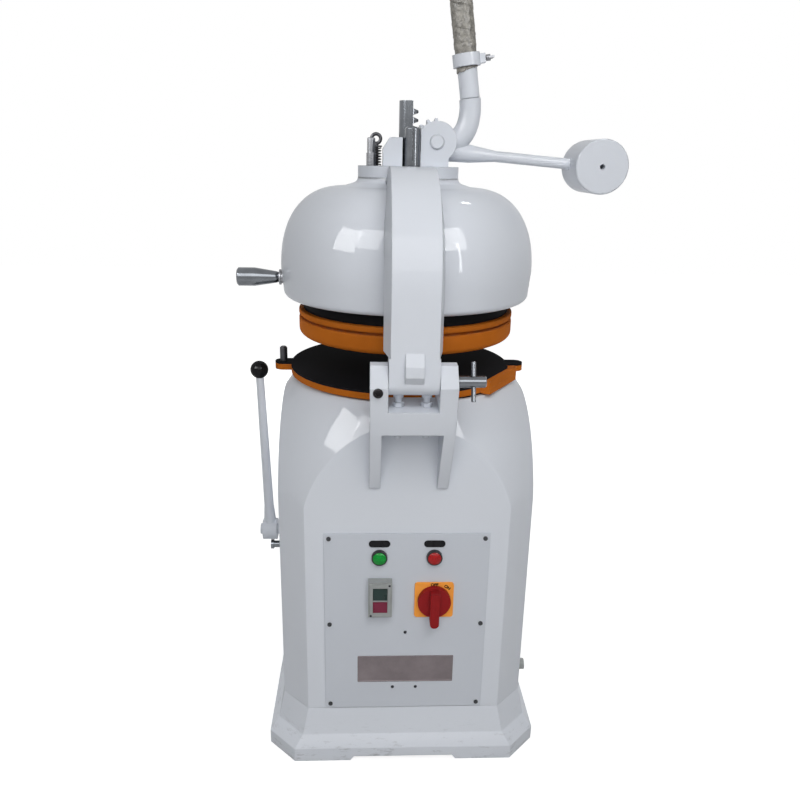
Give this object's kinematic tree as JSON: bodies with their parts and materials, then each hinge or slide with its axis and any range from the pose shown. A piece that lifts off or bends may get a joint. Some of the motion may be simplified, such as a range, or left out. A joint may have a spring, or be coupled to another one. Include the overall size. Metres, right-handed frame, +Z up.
{
  "type": "divider rounder",
  "caption": "Bakery divider rounder: square pedestal with an orbiting round table under a tilting domed press head, worked by a rack-and-pinion hand lever with a counterweight.",
  "frame": {"origin": "on the floor, under the axis of the table drive, at the middle of the base's flat underside", "axes": "+Z up, -Y towards the control panel and hinge, +X towards the counterweight"},
  "size_m": [0.774, 0.649, 1.6075],
  "materials": {
    "white_enamel": "glossy white enamel, slightly bluish",
    "panel_enamel": "satin light grey enamel",
    "orange_paint": "semi-gloss orange paint",
    "black_paint": "satin black paint",
    "dough_black": "fine matt black sheet",
    "chrome": "polished chrome plate",
    "machined_steel": "turned and ground steel",
    "dark_steel": "blackened steel",
    "cast_iron": "primed grey iron",
    "segment_alloy": "food-safe anodised alloy",
    "belt_rubber": "black rubber",
    "device_black": "black moulded plastic",
    "device_grey": "grey moulded plastic",
    "ball_black": "polished black resin",
    "green_lens": "translucent green",
    "red_lens": "translucent red",
    "start_green": "dark green moulded plastic",
    "stop_red": "dark red moulded plastic",
    "switch_yellow": "warm yellow moulded plastic",
    "switch_red": "red moulded plastic",
    "wrap_fabric": "crinkled grey-beige wrap"
  },
  "bodies": {
    "pedestal": {"base_casting": "white_enamel", "pedestal_shell": "white_enamel", "control_panel": "panel_enamel", "cover_screws": "dark_steel", "rear_cover": "white_enamel", "panel_devices": "device_black", "green_lens": "green_lens", "red_lens": "red_lens", "button_box": "device_grey", "isolator_plate": "switch_yellow", "hinge_bracket": "white_enamel", "level_bolts": "white_enamel", "bearing_plate": "cast_iron", "upper_bearing": "machined_steel", "foot_bearing": "cast_iron", "motor_body": "cast_iron", "drive_belt": "belt_rubber", "cable_gland": "device_grey", "lever_bush": "machined_steel", "stop_pin": "chrome"},
    "rotor": {"motor_pulley": "cast_iron"},
    "crank": {"main_shaft": "machined_steel", "driven_pulley": "cast_iron"},
    "idler_a": {"idler_left": "machined_steel"},
    "idler_b": {"idler_right": "machined_steel"},
    "table": {"rounding_table": "orange_paint", "dough_plate": "dough_black", "table_bearing": "machined_steel", "locating_stud": "dark_steel", "plate_stop": "orange_paint"},
    "head": {"head_arm": "white_enamel", "head_dome": "white_enamel", "rack_guide": "white_enamel", "lever_yoke": "white_enamel", "pivot_pin": "white_enamel", "guide_post": "chrome", "depth_stud": "machined_steel", "spring_eye": "dark_steel", "anchor_spring": "dark_steel", "release_bush": "machined_steel"},
    "release": {"release_handle": "chrome"},
    "lever": {"lever_casting": "white_enamel", "lever_pinion": "white_enamel", "handle_tube": "white_enamel", "handle_grip": "wrap_fabric", "handle_clamp": "white_enamel", "counterweight": "white_enamel"},
    "thumb_screw": {"clamp_screw": "machined_steel"},
    "press": {"press_spindle": "chrome", "press_drum": "black_paint", "pressure_ring": "orange_paint", "press_segments": "segment_alloy"},
    "cutter": {"cutter_knives": "machined_steel"},
    "clamp": {"hinge_pin": "chrome", "tommy_bar": "chrome"},
    "hand_lever": {"round_lever": "white_enamel", "lever_knob": "ball_black"},
    "start": {"start_button": "start_green"},
    "stop": {"stop_button": "stop_red"},
    "isolator": {"isolator_knob": "switch_red"}
  },
  "joints": [
    {"name": "head_tilt", "type": "hinge", "parent": "pedestal", "child": "head", "pos_m": [0, -0.33, 0.85], "axis": [1, 0, 0], "range_deg": [0, 75]},
    {"name": "lever_pull", "type": "hinge", "parent": "head", "child": "lever", "pos_m": [0.0525, 0, 1.245], "axis": [0, -1, 0], "range_deg": [0, 90]},
    {"name": "press_slide", "type": "slide", "parent": "head", "child": "press", "axis": [0, 0, -1], "range_m": [0, 0.0632]},
    {"name": "cutter_drop", "type": "slide", "parent": "press", "child": "cutter", "axis": [0, 0, -1], "range_m": [0, 0.03], "stiffness_N_per_m": 2000, "springref_m": -0.08},
    {"name": "release_pull", "type": "slide", "parent": "head", "child": "release", "axis": [-1, 0, 0], "range_m": [0, 0.015], "stiffness_N_per_m": 800, "springref_m": -0.01},
    {"name": "crank_spin", "type": "hinge", "parent": "pedestal", "child": "crank", "pos_m": [0, 0, 0.5], "axis": [0, 0, 1], "continuous": true},
    {"name": "table_orbit", "type": "hinge", "parent": "crank", "child": "table", "pos_m": [-0.01, 0, 0.76], "axis": [0, 0, 1], "continuous": true},
    {"name": "motor_spin", "type": "hinge", "parent": "pedestal", "child": "rotor", "pos_m": [0.12, 0.12, 0.265], "axis": [0, 0, 1], "continuous": true},
    {"name": "idler_left_spin", "type": "hinge", "parent": "pedestal", "child": "idler_a", "pos_m": [-0.14, 0, 0.72], "axis": [0, 0, 1], "continuous": true},
    {"name": "idler_right_spin", "type": "hinge", "parent": "pedestal", "child": "idler_b", "pos_m": [0.14, 0, 0.72], "axis": [0, 0, 1], "continuous": true},
    {"name": "clamp_turn", "type": "hinge", "parent": "pedestal", "child": "clamp", "pos_m": [0, -0.33, 0.85], "axis": [1, 0, 0], "range_deg": [0, 180]},
    {"name": "hand_lever_swing", "type": "hinge", "parent": "pedestal", "child": "hand_lever", "pos_m": [-0.3, 0, 0.397], "axis": [1, 0, 0], "range_deg": [-25, 25]},
    {"name": "start_press", "type": "slide", "parent": "pedestal", "child": "start", "axis": [0, 1, 0], "range_m": [0, 0.004], "stiffness_N_per_m": 600, "springref_m": -0.002},
    {"name": "stop_press", "type": "slide", "parent": "pedestal", "child": "stop", "axis": [0, 1, 0], "range_m": [0, 0.004], "stiffness_N_per_m": 600, "springref_m": -0.002},
    {"name": "isolator_turn", "type": "hinge", "parent": "pedestal", "child": "isolator", "pos_m": [0.056, -0.262, 0.374], "axis": [0, 1, 0], "range_deg": [0, 90]},
    {"name": "thumb_screw_turn", "type": "hinge", "parent": "lever", "child": "thumb_screw", "pos_m": [0.10743, 0, 1.39438], "axis": [0.9895, 0, 0.1444], "range_deg": [0, 180]}
  ],
  "couplings": [
    {"joint": "press_slide", "follows": "lever_pull", "m_per_rad": 0.04},
    {"joint": "table_orbit", "follows": "crank_spin", "ratio": -1},
    {"joint": "motor_spin", "follows": "crank_spin", "ratio": 3.4286},
    {"joint": "idler_left_spin", "follows": "crank_spin", "ratio": 1},
    {"joint": "idler_right_spin", "follows": "crank_spin", "ratio": 1}
  ]
}
